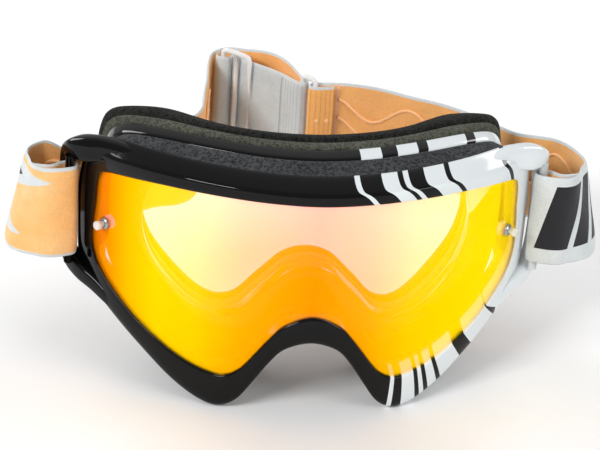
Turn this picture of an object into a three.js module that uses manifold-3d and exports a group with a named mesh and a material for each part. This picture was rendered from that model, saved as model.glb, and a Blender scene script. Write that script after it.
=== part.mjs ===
// Motorcycle goggles: a moulded frame with a curved lens, face foams and an adjustable strap.
// Millimetres. X to the viewer's right, Y from the lens towards the wearer's face, Z up.
// The group is moved at the end so that its origin is the bottom centre of the whole object.
import * as THREE from "three";
import { mergeVertices } from "three/addons/utils/BufferGeometryUtils.js";
import Module from "manifold-3d";

const wasm = await Module();
wasm.setup();

// Driving dimensions.
const LENS_RADIUS = 105; // the lens is a piece of an upright cylinder
const LENS_THICKNESS = 1;
const LENS_TUCK = 2; // how far the lens edge reaches into its groove
const CLEAR = 0.3; // gap between pieces that touch
const LIP = 1.4; // rim material in front of the lens
const RIM_DEPTH = 11;
const BODY_START = 20.7; // the face flange, measured back from the lens front
const BODY_END = 31;
const FOAM_END = 37.3;
const FLEECE_END = 43.5;
const TEMPLE_PAD = 8; // extra fleece where it meets the temples
const TEMPLE_AT = 58;
const TEMPLE_SPREAD = 14;
const TUBE_WALL = 2.2;
const STRAP_WIDTH = 41;
const STRAP_BOTTOM = 47.5;
const STRAP_THICKNESS = 1.8;
const STRAP_TOP = STRAP_BOTTOM + STRAP_WIDTH;
const BAR = new THREE.Vector2(98, 50); // strap bar of the right outrigger
const BAR_RADIUS = 1.8;
const POST_AT = 83; // tear-off posts, out from the middle
const POST_HEIGHT = 66;
const RING_BAR_RADIUS = 1.2;
const OUTLINE_STEPS = 88;
const ARC_STEPS = 22;

// Half outlines seen from the front, from the top middle, down the right side, to the nose.
const VISIBLE_LENS = [
  [0, 95.4], [35, 95.8], [62, 94.6], [78, 91.8], [85, 88], [87.2, 76], [88.2, 62], [87.4, 52],
  [82.4, 43], [71, 30.8], [60, 23.4], [46, 16.8], [34.6, 15.4], [25, 23.6], [17, 35], [9, 43.2], [0, 45.8],
];
const RIM_OUTER = [
  [0, 103.2], [35, 103.8], [62, 103.4], [82, 101], [91, 96], [94.5, 86], [94.5, 62], [94, 42], [90.5, 35.6],
  [81, 27.4], [71, 19.5], [56, 7.8], [45, 1.6], [37, 0], [30.6, 3], [23.2, 13], [16.4, 23.5],
  [9, 31.2], [0, 33.4],
];
const FLANGE_OUTER = [
  [0, 105.6], [40, 106.2], [62, 105], [77, 100.5], [83.6, 90], [85, 72], [84, 50], [79.5, 35.5], [68, 20.6],
  [52, 7.6], [44, 2], [37, 0], [30.5, 3.6], [22, 14], [15, 25], [8, 31.6], [0, 33.8],
];
const EYE_PORT = [
  [0, 92], [34, 93], [56, 90], [66, 80], [68, 64], [64, 49], [52, 36], [40, 30], [30, 32.6], [22, 41],
  [14, 50], [7, 55], [0, 56.6],
];

// Plan route of each strap's middle line, as [x, y].
const RUN_START = new THREE.Vector2(-28, 171.5); // the doubled run behind the slider starts here
const RUN_ALONG = new THREE.Vector2(33, -30.5).normalize();
const RUN_ACROSS = new THREE.Vector2(-RUN_ALONG.y, RUN_ALONG.x); // away from the goggles
const RUN_ANGLE = Math.atan2(RUN_ALONG.y, RUN_ALONG.x);
const SLIDER_LENGTH = 18;
const RING_LEFT = 45; // ring bars, measured along the run
const RING_RIGHT = 52.2;
const RING_TURN = RING_BAR_RADIUS + 0.4 + STRAP_THICKNESS / 2;

const bow = (x) => LENS_RADIUS - Math.sqrt(LENS_RADIUS ** 2 - x * x);
const shifted = (depth) => (x) => depth + bow(x);
const concentric = (grow) => (x) => LENS_RADIUS - Math.sqrt((LENS_RADIUS + grow) ** 2 - x * x);
const padded = (depth) => (x) =>
  depth + bow(x) + TEMPLE_PAD * Math.exp(-(((Math.abs(x) - TEMPLE_AT) / TEMPLE_SPREAD) ** 2));
const onRun = (along, across) => {
  const p = RUN_START.clone().addScaledVector(RUN_ALONG, along).addScaledVector(RUN_ACROSS, across);
  return [p.x, p.y];
};

// Solids.
function solid(geometry) {
  const bare = geometry.clone();
  bare.deleteAttribute("normal");
  bare.deleteAttribute("uv");
  const merged = mergeVertices(bare, 1e-4);
  return new wasm.Manifold(
    new wasm.Mesh({
      numProp: 3,
      vertProperties: merged.attributes.position.array,
      triVerts: new Uint32Array(merged.index.array),
    }),
  );
}

function closedOutline(half, steps = OUTLINE_STEPS) {
  const right = half.map(([x, z]) => new THREE.Vector3(x, z, 0));
  const left = half.slice(1, -1).reverse().map(([x, z]) => new THREE.Vector3(-x, z, 0));
  const curve = new THREE.CatmullRomCurve3([...right, ...left], true, "centripetal");
  return curve.getSpacedPoints(steps).slice(0, -1).map((p) => new THREE.Vector2(p.x, p.y));
}

// Moves a clockwise outline outwards by a distance.
function grown(points, distance) {
  return points.map((p, i) => {
    const before = points[(i + points.length - 1) % points.length];
    const after = points[(i + 1) % points.length];
    const along = after.clone().sub(before).normalize();
    return new THREE.Vector2(p.x - along.y * distance, p.y + along.x * distance);
  });
}

// A front outline pushed through the whole depth of the goggles.
function frontal(points) {
  const depth = 160;
  const geometry = new THREE.ExtrudeGeometry(new THREE.Shape(points), { depth, bevelEnabled: false });
  geometry.rotateX(Math.PI / 2);
  geometry.translate(0, depth - 20, 0);
  return solid(geometry);
}

// A plan outline pushed up from one height to another.
function upright(points, bottom, top) {
  const shape = new THREE.Shape(points);
  const geometry = new THREE.ExtrudeGeometry(shape, { depth: top - bottom, bevelEnabled: false });
  geometry.translate(0, 0, bottom);
  return solid(geometry);
}

// The space between two curved walls, each given as depth against x.
function between(front, back, reach = 96) {
  const limit = Math.asin(reach / LENS_RADIUS);
  const xs = Array.from({ length: ARC_STEPS + 1 }, (_, i) =>
    LENS_RADIUS * Math.sin(limit * ((2 * i) / ARC_STEPS - 1)));
  const near = xs.map((x) => new THREE.Vector2(x, front(x)));
  const far = xs.map((x) => new THREE.Vector2(x, back(x))).reverse();
  return upright([...near, ...far], -5, 115);
}

function box(x0, x1, y0, y1, z0, z1) {
  const geometry = new THREE.BoxGeometry(x1 - x0, y1 - y0, z1 - z0);
  geometry.translate((x0 + x1) / 2, (y0 + y1) / 2, (z0 + z1) / 2);
  return solid(geometry);
}

function pin(centre, radius, bottom, top, sides = 14) {
  const geometry = new THREE.CylinderGeometry(radius, radius, top - bottom, sides);
  geometry.rotateX(Math.PI / 2);
  geometry.translate(centre.x, centre.y, (bottom + top) / 2);
  return solid(geometry);
}

// A strip of strap that follows a plan route on its edge.
function strip(route, bottom, top, steps, thickness = STRAP_THICKNESS) {
  const stations = route.map(([x, y]) => new THREE.Vector3(x, y, 0));
  const curve = new THREE.CatmullRomCurve3(stations, false, "centripetal");
  const points = curve.getSpacedPoints(steps);
  const side = (sign) => points.map((p, i) => {
    const along = points[Math.min(i + 1, steps)].clone().sub(points[Math.max(i - 1, 0)]).normalize();
    return new THREE.Vector2(p.x - (along.y * sign * thickness) / 2, p.y + (along.x * sign * thickness) / 2);
  });
  return upright([...side(-1), ...side(1).reverse()], bottom, top);
}

function turn(cx, cy, radius, from, to, count = 7) {
  return Array.from({ length: count }, (_, i) => {
    const angle = from + ((to - from) * i) / (count - 1);
    return [cx + radius * Math.cos(angle), cy + radius * Math.sin(angle)];
  });
}

const mirrored = (route) => route.map(([x, y]) => [-x, y]);

// Materials.
const look = (color, roughness, metalness = 0) => ({ color, roughness, metalness });
const LOOKS = {
  glossBlack: look(0x0b0a0c, 0.12),
  lens: look(0xffb400, 0.05, 0.6),
  clear: look(0xe6eef0, 0.15),
  metal: look(0x9a9c9e, 0.3, 1),
  ventFoam: look(0x2b2e33, 0.95),
  baseFoam: look(0x3a3b36, 0.95),
  fleece: look(0x1e1e1c, 1),
  strap: look(0xfdbf77, 0.85),
  silicone: look(0xfdd9a8, 0.4),
};

const goggles = new THREE.Group();

function add(name, made, style) {
  const mesh = made.getMesh();
  const geometry = new THREE.BufferGeometry();
  geometry.setAttribute("position", new THREE.BufferAttribute(mesh.vertProperties, 3));
  geometry.setIndex(new THREE.BufferAttribute(mesh.triVerts, 1));
  const part = new THREE.Mesh(geometry, new THREE.MeshStandardMaterial(LOOKS[style]));
  part.name = name;
  goggles.add(part);
}

// The frame: the front rim, with a groove for the lens, and the body with its face flange.
const visible = closedOutline(VISIBLE_LENS);
const rimOutline = closedOutline(RIM_OUTER);
const flangeOutline = closedOutline(FLANGE_OUTER);
const portOutline = closedOutline(EYE_PORT);
const groove = frontal(grown(visible, LENS_TUCK + CLEAR))
  .intersect(between(concentric(CLEAR), concentric(-LENS_THICKNESS - CLEAR)));
const ring = frontal(rimOutline).subtract(frontal(visible));
add("front_rim", ring.intersect(between(concentric(LIP), shifted(RIM_DEPTH))).subtract(groove), "glossBlack");

function ventWindows() {
  const high = 12;
  const wide = 14;
  const step = 22;
  const top = [-2, -1, 0, 1, 2].map((i) => box(i * step - wide / 2, i * step + wide / 2, 0, 60, 88, 88 + high));
  const cheeks = [-1, 1].flatMap((side) => [46, 62].map((x) =>
    box(side * x - 5, side * x + 5, 0, 60, 12, 30)));
  return [...top, ...cheeks];
}

const TUBE_OUTER = grown(visible, TUBE_WALL + 0.8);
const tubeInner = frontal(grown(visible, 0.8)).intersect(frontal(grown(flangeOutline, -2.5)));
const tube = frontal(TUBE_OUTER).subtract(tubeInner)
  .intersect(between(shifted(RIM_DEPTH + CLEAR), shifted(BODY_START + 1)));
const vented = ventWindows().reduce(
  (left, window) => left.subtract(window.intersect(between(shifted(RIM_DEPTH + 2), shifted(BODY_START - 1.5)))),
  tube,
);
const flange = frontal(flangeOutline).subtract(frontal(portOutline))
  .intersect(between(shifted(BODY_START), shifted(BODY_END)));
add("frame_body", vented.add(flange), "glossBlack");

// Outriggers: an upper and a lower ear with the strap bar between them.
function outrigger(side) {
  const plan = [
    [93, 52.5], [95.5, 47], [99, 45.4], [102.4, 48.6], [102, 54], [98.6, 63], [95.8, 67], [93.6, 64],
  ];
  const points = plan.map(([x, y]) => new THREE.Vector2(side * x, y));
  if (side < 0) points.reverse();
  const window = box(Math.min(side * 90, side * 105), Math.max(side * 90, side * 105), 44, 56.4, 45.6, 90.6);
  const rimRoom = frontal(grown(rimOutline, 2 * CLEAR))
    .intersect(between(concentric(LIP + 2 * CLEAR), shifted(RIM_DEPTH + 2 * CLEAR)));
  const slope = box(-9, 9, -30, 60, 0, 12);
  const bevel = slope.rotate([0, side * 38, 0]).translate([side * 101, 40, 90.5]);
  return upright(points, 36.6, 98)
    .subtract(window)
    .subtract(bevel)
    .add(pin(new THREE.Vector2(side * BAR.x, BAR.y), BAR_RADIUS, 44, 91.4))
    .subtract(rimRoom);
}
add("outrigger_left", outrigger(-1), "glossBlack");
add("outrigger_right", outrigger(1), "glossBlack");

// The lens, with a hole for each tear-off post.
const POST_HOLE = 1.5;
const POST_ANGLE = Math.asin(POST_AT / LENS_RADIUS);

// Stands a piece that was turned about Z, with Z pointing out of the lens, at a post's place.
function atPost(geometry, side) {
  const placed = geometry.clone();
  placed.rotateX(Math.PI / 2);
  placed.rotateZ(side * POST_ANGLE);
  placed.translate(side * POST_AT, bow(POST_AT), POST_HEIGHT);
  return solid(placed);
}

// A round piece from its half profile, [radius, distance out of the lens].
function turned(profile, sides = 16) {
  const geometry = new THREE.LatheGeometry(profile.map(([r, h]) => new THREE.Vector2(r, h)), sides);
  geometry.rotateX(Math.PI / 2);
  return geometry;
}

const drill = turned([[0, -4], [POST_HOLE, -4], [POST_HOLE, 4], [0, 4]]);
const sheet = frontal(grown(visible, LENS_TUCK)).intersect(between(concentric(0), concentric(-LENS_THICKNESS)));
add("lens", sheet.subtract(atPost(drill, -1)).subtract(atPost(drill, 1)), "lens");

const POST = [
  [0, -3.6], [1.2, -3.6], [1.2, 2.4], [1.5, 3], [1.9, 3.4], [1.9, 4.8], [1.5, 5.3], [0, 5.3],
];
const COLLAR = [[1.5, 0.3], [2.7, 0.3], [2.7, 0.9], [2.1, 1.6], [1.5, 1.6]];
const CLIP = [[1.5, -3], [3, -3], [3, -1.4], [1.5, -1.4]];
const ringProfile = (profile) => [...profile, profile[0]];
for (const [side, word] of [[-1, "left"], [1, "right"]]) {
  add(`tearoff_post_${word}`, atPost(turned(POST), side), "clear");
  add(`tearoff_collar_${word}`, atPost(turned(ringProfile(COLLAR)), side), "metal");
  add(`tearoff_clip_${word}`, atPost(turned(ringProfile(CLIP)), side), "clear");
}

// Vent foams lie round the body between the rim and the flange.
const ventRing = frontal(grown(rimOutline, -1.2)).subtract(frontal(grown(TUBE_OUTER, CLEAR)))
  .intersect(between(shifted(RIM_DEPTH + CLEAR), shifted(BODY_START - CLEAR)));
add("vent_foam_top", ventRing.intersect(box(-84, 84, 0, 90, 86, 110)), "ventFoam");
add("vent_foam_left", ventRing.intersect(box(-84, -22, 0, 90, 0, 46)), "ventFoam");
add("vent_foam_right", ventRing.intersect(box(22, 84, 0, 90, 0, 46)), "ventFoam");

// Face foam: a firm base on the flange and a soft fleece layer against the face.
const faceRing = frontal(grown(flangeOutline, -0.6)).subtract(frontal(grown(portOutline, -1)));
add("face_foam_base", faceRing.intersect(between(shifted(BODY_END + CLEAR), shifted(FOAM_END))), "baseFoam");
add("face_foam_fleece", faceRing.intersect(between(shifted(FOAM_END + CLEAR), padded(FLEECE_END))), "fleece");

// The strap: a left piece that is doubled through the ring and ends behind the slider,
// and a right piece, each sewn round its outrigger's bar.
const BAR_TURN = BAR_RADIUS + 0.5 + STRAP_THICKNESS / 2;
const endTurn = [
  [113, 49.6], [106, 48.6], [101.6, 52.2],
  ...turn(BAR.x, BAR.y, BAR_TURN, Math.PI * 0.42, Math.PI * 1.45),
];
const leftRoute = [
  ...mirrored(endTurn),
  [-103, 45.2], [-109, 45.4], [-115.4, 50], [-119.5, 58], [-118.6, 68], [-112, 75.4], [-103.5, 77],
  [-96.4, 77.8], [-92, 84], [-87, 90], [-79, 93.4], [-67, 93.4], [-55, 94], [-47, 98.4], [-42.6, 106],
  [-40.4, 118], [-38.6, 136],
  [-36.8, 153], [-35.9, 164], [-34.4, 170.6], [-30.6, 175.4], onRun(-2, 6), onRun(4, 9.4), onRun(10, 13.6),
  onRun(17, 15.2), onRun(25, 13), onRun(33, 9), onRun(41, 4.3),
  ...turn(...onRun(RING_LEFT, 0), RING_TURN, RUN_ANGLE + Math.PI / 2, RUN_ANGLE - Math.PI / 2),
  onRun(40, -1.7), onRun(33, -0.5), onRun(24, 0), onRun(12, 0), onRun(3, 0),
];
const rightRoute = [
  ...endTurn,
  [103, 45.2], [109, 45.4], [116, 50.6], [121.6, 59], [122.4, 68], [118.6, 79], [111, 86], [102, 88],
  [93, 90], [84.4, 99.4], [76, 109.4], [65, 118.4], [53, 125.6], [42, 132.4], [33, 136.6], [25, 138.8],
  [18.4, 139],
  ...turn(...onRun(RING_RIGHT, 0), RING_TURN, Math.PI * 0.42, Math.PI * 1.56),
  [14.4, 133.8], [18.4, 134.6],
];
add("strap_left", strip(leftRoute, STRAP_BOTTOM, STRAP_TOP, 150), "strap");
add("strap_right", strip(rightRoute, STRAP_BOTTOM, STRAP_TOP, 120), "strap");

// A flat plate on the run, standing on its edge, from one place along the run to another.
function onRunBox(from, to, near, far, bottom, top) {
  const corners = [onRun(from, near), onRun(to, near), onRun(to, far), onRun(from, far)];
  return upright(corners.map(([x, y]) => new THREE.Vector2(x, y)), bottom, top);
}

// The ring joins the two strap pieces: two bars and two bridges.
const BRIDGE = 2.6;
const ringBars = [RING_LEFT, RING_RIGHT].map((along) =>
  pin(new THREE.Vector2(...onRun(along, 0)), RING_BAR_RADIUS, STRAP_BOTTOM - 1.5, STRAP_TOP + 1.5));
const ringBridges = [STRAP_BOTTOM - 0.8 - BRIDGE, STRAP_TOP + 0.8].map((bottom) =>
  onRunBox(RING_LEFT - 1.6, RING_RIGHT + 1.6, -1.6, 1.6, bottom, bottom + BRIDGE));
add("strap_ring", [...ringBars, ...ringBridges].reduce((a, b) => a.add(b)), "clear");

// The slider: a plate with two slots, in front of the doubled run.
const SLIDER_NEAR = -4.2;
const SLIDER_FAR = -1.9;
const slotLength = (SLIDER_LENGTH - 3 * 2.4) / 2;
const plate = onRunBox(0, SLIDER_LENGTH, SLIDER_NEAR, SLIDER_FAR, STRAP_BOTTOM - 4, STRAP_TOP + 4);
const slots = [2.4, 4.8 + slotLength].map((from) =>
  onRunBox(from, from + slotLength, -9, 0, STRAP_BOTTOM - 0.6, STRAP_TOP + 0.6));
add("strap_slider", slots.reduce((a, b) => a.subtract(b), plate), "clear");

// The short end of webbing that is sewn round the slider's left bar.
const leftSlot = 2.4 + slotLength / 2;
const loopRoute = [
  onRun(leftSlot - 0.2, SLIDER_FAR - 0.2), onRun(leftSlot - 0.3, SLIDER_NEAR + 0.4),
  onRun(2, SLIDER_NEAR - 1.5),
  onRun(-1, SLIDER_NEAR - 0.8), onRun(-1.8, SLIDER_NEAR + 1.2),
];
add("slider_loop", strip(loopRoute, STRAP_BOTTOM, STRAP_TOP, 16, 1.4), "strap");

// Silicone beads: two waves printed on the inside of each strap piece.
function bead(route, from, to, height, swing, waves, side) {
  const stations = route.map(([x, y]) => new THREE.Vector3(x, y, 0));
  const curve = new THREE.CatmullRomCurve3(stations, false, "centripetal");
  const away = STRAP_THICKNESS / 2 + 0.9;
  const count = waves * 9;
  const points = Array.from({ length: count + 1 }, (_, i) => {
    const t = from + ((to - from) * i) / count;
    const along = curve.getTangentAt(t);
    const wave = swing * Math.cos((2 * Math.PI * waves * i) / count);
    const lift = new THREE.Vector3(-along.y * side * away, along.x * side * away, height + wave);
    return curve.getPointAt(t).add(lift);
  });
  const corners = turn(0, 0, 0.6, 0, (Math.PI * 5) / 3, 6);
  const section = new THREE.Shape(corners.map(([x, y]) => new THREE.Vector2(x, y)));
  const extrudePath = new THREE.CatmullRomCurve3(points);
  return solid(new THREE.ExtrudeGeometry(section, { steps: count * 2, extrudePath, bevelEnabled: false }));
}
const UPPER = STRAP_TOP - 12;
const LOWER = STRAP_TOP - 21;
const SWING = 4.8;
for (const [word, height] of [["upper", UPPER], ["lower", LOWER]]) {
  add(`silicone_bead_${word}_right`, bead(rightRoute, 0.33, 0.89, height, SWING, 4, 1), "silicone");
  add(`silicone_bead_${word}_left`, bead(leftRoute, 0.15, 0.53, height, SWING, 4, -1), "silicone");
}

// The origin is the bottom centre of the whole object's box.
const bounds = new THREE.Box3().setFromObject(goggles);
const middle = bounds.getCenter(new THREE.Vector3());
goggles.position.set(-middle.x, -middle.y, -bounds.min.z);

export default goggles;
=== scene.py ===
import math

import bpy
from mathutils import Matrix, Vector


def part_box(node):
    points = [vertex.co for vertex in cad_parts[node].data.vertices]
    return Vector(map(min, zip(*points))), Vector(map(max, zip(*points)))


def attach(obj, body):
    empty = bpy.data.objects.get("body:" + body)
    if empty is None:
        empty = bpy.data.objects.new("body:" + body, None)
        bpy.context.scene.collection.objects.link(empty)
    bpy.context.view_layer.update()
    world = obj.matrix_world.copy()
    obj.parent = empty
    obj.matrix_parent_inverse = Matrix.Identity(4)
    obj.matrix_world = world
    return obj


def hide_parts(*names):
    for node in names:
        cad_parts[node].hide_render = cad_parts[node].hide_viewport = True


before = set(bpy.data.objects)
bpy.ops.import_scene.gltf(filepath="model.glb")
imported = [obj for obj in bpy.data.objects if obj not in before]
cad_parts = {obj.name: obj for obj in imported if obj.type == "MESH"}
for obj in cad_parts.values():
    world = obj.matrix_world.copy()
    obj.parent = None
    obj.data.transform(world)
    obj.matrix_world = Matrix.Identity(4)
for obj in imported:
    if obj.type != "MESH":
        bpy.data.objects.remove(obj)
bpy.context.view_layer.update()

# Lengths below are millimetres in the goggles' own frame: X to the viewer's right from the middle of the
# lens, Y back from the lens front, Z up from the lowest point of the rim.
MM = 0.001
LENS_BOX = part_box("lens")
RIM_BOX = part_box("front_rim")
ORIGIN = Vector((
    (LENS_BOX[0][0] + LENS_BOX[1][0]) / 2,
    LENS_BOX[0][1],
    RIM_BOX[0][2],
))
STRAP_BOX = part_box("strap_right")
STRAP_BOTTOM = (STRAP_BOX[0][2] - ORIGIN.z) / MM
STRAP_WIDTH = (STRAP_BOX[1][2] - STRAP_BOX[0][2]) / MM
STRAP_THICKNESS = 1.8
LENS_RADIUS = 105.0

# Half outlines seen from the front, from the top middle down the right side to the nose. Points with the
# same number lie across from each other.
LENS_EDGE = [
    (0, 95.5), (20, 95.8), (40, 95.8), (60, 94.7), (75, 92.1), (83.6, 89.4), (86.4, 85.4), (87.3, 74),
    (88.3, 62), (88.2, 53.5), (85.4, 45.4), (79, 38), (70.6, 30.6), (60, 23.4), (50, 18.4), (41, 15.8),
    (34.4, 15.6), (28.4, 19.4), (23, 26.6), (17.6, 34.2), (11, 41.6), (0, 45.8),
]
RIM_EDGE = [
    (0, 103.2), (20, 103.5), (40, 103.8), (60, 103.4), (77, 101.8), (86, 98.4), (91.6, 92.4), (94.5, 76),
    (94.5, 61), (94.2, 47), (92.6, 38.4), (87, 32.4), (78, 25.2), (67, 16.6), (55.6, 7.6), (45, 1.6),
    (36.4, 0), (29, 4.2), (22.4, 14), (16.5, 23.4), (10.4, 30.2), (0, 33.4),
]
FLANGE_EDGE = [
    (0, 105.6), (20, 105.9), (40, 106.2), (60, 105.2), (74, 101.8), (81, 96), (84, 87), (85, 76),
    (85, 62), (84, 50), (81, 39), (76, 30.5), (68.4, 21.4), (60, 14), (51.6, 7.4), (44, 2), (37, 0),
    (30.4, 3.6), (24.4, 10.6), (18, 20.4), (11, 29.4), (0, 33.8),
]
PORT_EDGE = [
    (0, 92), (18, 92.6), (36, 92.8), (52, 91), (61.4, 86), (65.6, 79.4), (67.4, 72), (68, 65), (66.8, 57),
    (64, 49.4), (59.6, 43.2), (54.6, 38.2), (49, 34), (44, 31.4), (39.6, 30.2), (35.4, 30.2), (31, 31.8),
    (27, 34.8), (22, 41), (17, 46.6), (9.6, 54), (0, 56.8),
]
STEPS = 6  # stations between two outline points


# ---------------------------------------------------------------- geometry helpers
def place(x, y, z):
    """A point given in the goggles' millimetres, in the scene's metres."""
    return ORIGIN + Vector((x, y, z)) * MM


def mix(a, b, t):
    return a + (b - a) * t


def smooth(t):
    """An even step from 0 to 1 as t goes from 0 to 1."""
    t = max(0.0, min(1.0, t))
    return t * t * (3 - 2 * t)


def spline(p0, p1, p2, p3, t):
    """A point on the curve that runs smoothly from p1 to p2."""
    return 0.5 * (
        2 * p1 + (p2 - p0) * t + (2 * p0 - 5 * p1 + 4 * p2 - p3) * t * t
        + (3 * p1 - p0 - 3 * p2 + p3) * t * t * t
    )


def closed_line(half, steps=STEPS):
    """A whole outline from its right half, as evenly numbered stations."""
    points = [Vector(p) for p in half] + [Vector((-x, z)) for x, z in half[-2:0:-1]]
    count = len(points)
    return [
        spline(points[i - 1], points[i], points[(i + 1) % count], points[(i + 2) % count], s / steps)
        for i in range(count) for s in range(steps)
    ]


def open_line(points, spacing):
    """A smooth line through points in any dimension, resampled at an even spacing."""
    pts = [Vector(p) for p in points]
    pts = [2 * pts[0] - pts[1]] + pts + [2 * pts[-1] - pts[-2]]
    fine = [
        spline(pts[i - 1], pts[i], pts[i + 1], pts[i + 2], s / 12)
        for i in range(1, len(pts) - 2) for s in range(12)
    ] + [pts[-2]]
    return resample(fine, spacing)


def resample(fine, spacing):
    """Points at an even spacing along a finely drawn line."""
    along = [0.0]
    for a, b in zip(fine, fine[1:]):
        along.append(along[-1] + (b - a).length)
    count = max(2, round(along[-1] / spacing))
    result, j = [], 0
    for i in range(count + 1):
        target = along[-1] * i / count
        while j < len(fine) - 2 and along[j + 1] < target:
            j += 1
        t = (target - along[j]) / max(along[j + 1] - along[j], 1e-9)
        result.append(fine[j].lerp(fine[j + 1], min(1.0, t)))
    return result


def bow(x):
    """How far the lens front lies behind its middle."""
    return LENS_RADIUS - math.sqrt(LENS_RADIUS ** 2 - x * x)


def ahead(x, rise):
    """The depth of a surface that stands rise in front of the lens."""
    return LENS_RADIUS - math.sqrt((LENS_RADIUS + rise) ** 2 - x * x)


def temple(x):
    """The raised part of the face foam at the temples, from 0 to 1."""
    return math.exp(-(((abs(x) - 58) / 15) ** 2))


def lens_place(x, z, depth):
    """depth is negative in front of the lens, where it is taken square to the lens."""
    y = ahead(x, -depth) if depth < 0 else bow(x) + depth
    return place(x, y, z)


def make(name, verts, faces, material, corner_uvs=None):
    """corner_uvs holds one UV for each corner of each face, in order."""
    mesh = bpy.data.meshes.new(name)
    mesh.from_pydata([tuple(v) for v in verts], [], faces)
    materials = material if isinstance(material, (list, tuple)) else [material]
    for one in materials:
        mesh.materials.append(one)
    if corner_uvs:
        layer = mesh.uv_layers.new(name="UVMap")
        for corner, uv in zip(layer.data, corner_uvs):
            corner.uv = uv
    mesh.polygons.foreach_set("use_smooth", [True] * len(mesh.polygons))
    obj = bpy.data.objects.new(name, mesh)
    bpy.context.collection.objects.link(obj)
    mesh.update()
    return obj


def outward(obj):
    """Turns every face of a closed piece outwards."""
    mesh = obj.data
    volume = 0.0
    for poly in mesh.polygons:
        corners = [mesh.vertices[i].co for i in poly.vertices]
        for b, c in zip(corners[1:], corners[2:]):
            volume += corners[0].dot(b.cross(c))
    if volume < 0:
        mesh.flip_normals()
    return obj


def skin(name, rows, material, ring=True, tube=True, along=None, across=None):
    """A surface through rows of points. ring joins the last row to the first, and tube closes each row.
    Rows that don't join get flat ends. along gives each row its U, with one more at the end for a ring,
    and across gives each point of a row its V, with one more at the end for a tube."""
    count, width = len(rows), len(rows[0])
    verts = [p for row in rows for p in row]
    faces, corners = [], []
    for i in range(count if ring else count - 1):
        for j in range(width if tube else width - 1):
            a = i * width + j
            b = i * width + (j + 1) % width
            c = ((i + 1) % count) * width + (j + 1) % width
            d = ((i + 1) % count) * width + j
            faces.append((a, b, c, d))
            if along:
                around = ((i, j), (i, j + 1), (i + 1, j + 1), (i + 1, j))
                corners += [(along[u], across[v]) for u, v in around]
    if tube and not ring:
        last = (count - 1) * width
        faces.append(tuple(range(width)))
        faces.append(tuple(range(last + width - 1, last - 1, -1)))
        if along:
            corners += [(along[0], across[v]) for v in range(width)]
            corners += [(along[-1], across[v]) for v in range(width - 1, -1, -1)]
    return outward(make(name, verts, faces, material, corners))


def refine(obj):
    """Rounds a piece with one level of subdivision."""
    smoothing = obj.modifiers.new("smooth", "SUBSURF")
    smoothing.levels = 1
    smoothing.render_levels = 1
    return obj


def rod(name, points, radius, material, closed=False, sides=12):
    """A round rod along a line of places."""
    rows = []
    count = len(points)
    for i, p in enumerate(points):
        before = points[i - 1] if closed or i else points[0]
        after = points[(i + 1) % count] if closed or i < count - 1 else points[-1]
        along = (after - before).normalized()
        side = along.cross(Vector((0, 0, 1)))
        side = side.normalized() if side.length > 1e-3 else Vector((1, 0, 0))
        up = side.cross(along).normalized()
        rows.append([
            p + side * (math.cos(a) * radius * MM) + up * (math.sin(a) * radius * MM)
            for a in (2 * math.pi * k / sides for k in range(sides))
        ])
    return skin(name, rows, material, ring=closed)


def belongs(piece, body, slot, *nodes):
    """Attaches a piece to the body it moves with and hides the nodes it stands for. slot, meant for its
    finish, is not used.
    """
    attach(piece, body)
    if nodes:
        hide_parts(*nodes)


# ---------------------------------------------------------------- material helpers
class Nodes:
    """Short names for building a node tree."""

    def __init__(self, name):
        self.material = bpy.data.materials.new(name)
        self.material.use_nodes = True
        self.tree = self.material.node_tree
        self.tree.nodes.clear()
        self.output = self.tree.nodes.new("ShaderNodeOutputMaterial")

    def add(self, kind, **values):
        node = self.tree.nodes.new("ShaderNode" + kind)
        for key, value in values.items():
            if hasattr(node, key):
                setattr(node, key, value)
            else:
                self.put(node, key.replace("_", " "), value)
        return node

    def put(self, node, socket, value):
        target = node.inputs[socket]
        if isinstance(value, bpy.types.NodeSocket):
            self.tree.links.new(value, target)
        else:
            target.default_value = value

    def math(self, operation, a, b=0.0):
        node = self.tree.nodes.new("ShaderNodeMath")
        node.operation = operation
        self.put(node, 0, a)
        self.put(node, 1, b)
        return node.outputs[0]

    def blend(self, factor, a, b, kind="MIX"):
        """Mixes two colours: a where the factor is 0, and b where it is 1."""
        node = self.tree.nodes.new("ShaderNodeMix")
        node.data_type = "RGBA"
        node.blend_type = kind
        self.put(node, 0, factor)
        self.put(node, 6, a)
        self.put(node, 7, b)
        return node.outputs[2]

    def coordinate(self, which="Object"):
        return self.tree.nodes.new("ShaderNodeTexCoord").outputs[which]

    def split(self, vector):
        return self.add("SeparateXYZ", Vector=vector).outputs

    def noise(self, vector, scale, detail=3.0, roughness=0.55):
        node = self.add("TexNoise", Scale=scale, Detail=detail, Roughness=roughness)
        self.put(node, "Vector", vector)
        return node.outputs[0]

    def range(self, value, low, high, to_low=0.0, to_high=1.0):
        node = self.tree.nodes.new("ShaderNodeMapRange")
        for i, v in enumerate((value, low, high, to_low, to_high)):
            self.put(node, i, v)
        return node.outputs[0]

    def ramp(self, value, stops, kind="LINEAR"):
        node = self.tree.nodes.new("ShaderNodeValToRGB")
        node.color_ramp.interpolation = kind
        elements = node.color_ramp.elements
        elements.remove(elements[1])
        elements[0].position = stops[0][0]
        elements[0].color = stops[0][1]
        for position, color in stops[1:]:
            elements.new(position).color = color
        self.put(node, 0, value)
        return node.outputs[0]

    def bump(self, height, strength, distance):
        return self.add("Bump", Height=height, Strength=strength, Distance=distance).outputs[0]

    def done(self, shader):
        self.tree.links.new(shader, self.output.inputs[0])
        return self.material


def rgb(code):
    """A colour from its sRGB code, such as FDBF77."""
    values = [int(code[i:i + 2], 16) / 255 for i in (0, 2, 4)]
    linear = [v / 12.92 if v <= 0.04045 else ((v + 0.055) / 1.055) ** 2.4 for v in values]
    return (*linear, 1.0)


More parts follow.
